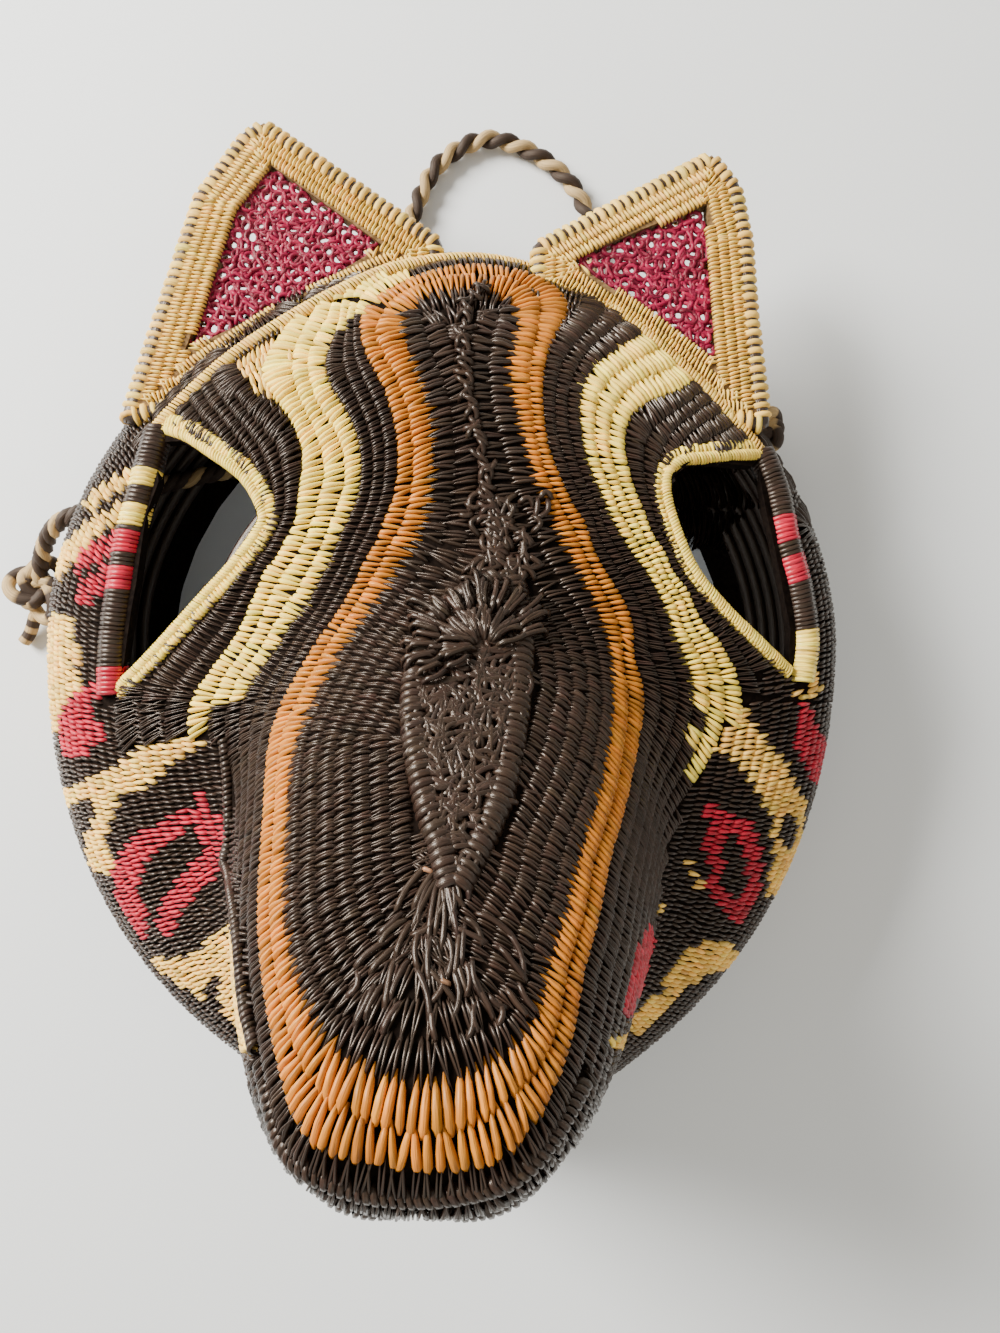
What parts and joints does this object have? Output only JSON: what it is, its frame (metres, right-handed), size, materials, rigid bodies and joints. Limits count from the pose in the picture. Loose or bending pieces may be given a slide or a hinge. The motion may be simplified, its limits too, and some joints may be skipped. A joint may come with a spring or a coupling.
{
  "type": "woven animal mask",
  "caption": "Coiled basketry animal mask, hollow, with long snout, slanted eye openings, pointed netted ears, hanging loop and head strap.",
  "frame": {"origin": "middle of the mask's outline, cords left out, on the flat plane of the rim", "axes": "+Z out of the face towards the snout's tip, +Y from the chin to the ears, +X to the right as seen from the front"},
  "size_m": [0.2024, 0.2449, 0.1105],
  "materials": {
    "palm_fibre_dark": "satin",
    "palm_fibre_pale": "satin",
    "palm_fibre_crimson": "satin",
    "two_tone_cord": "matt"
  },
  "bodies": {
    "root": {"woven_face": "palm_fibre_dark", "left_ear_frame": "palm_fibre_pale", "right_ear_frame": "palm_fibre_pale", "left_ear_lace": "palm_fibre_crimson", "right_ear_lace": "palm_fibre_crimson", "hanging_loop": "two_tone_cord", "head_strap": "two_tone_cord", "left_knot": "two_tone_cord", "right_knot": "two_tone_cord"}
  },
  "joints": []
}
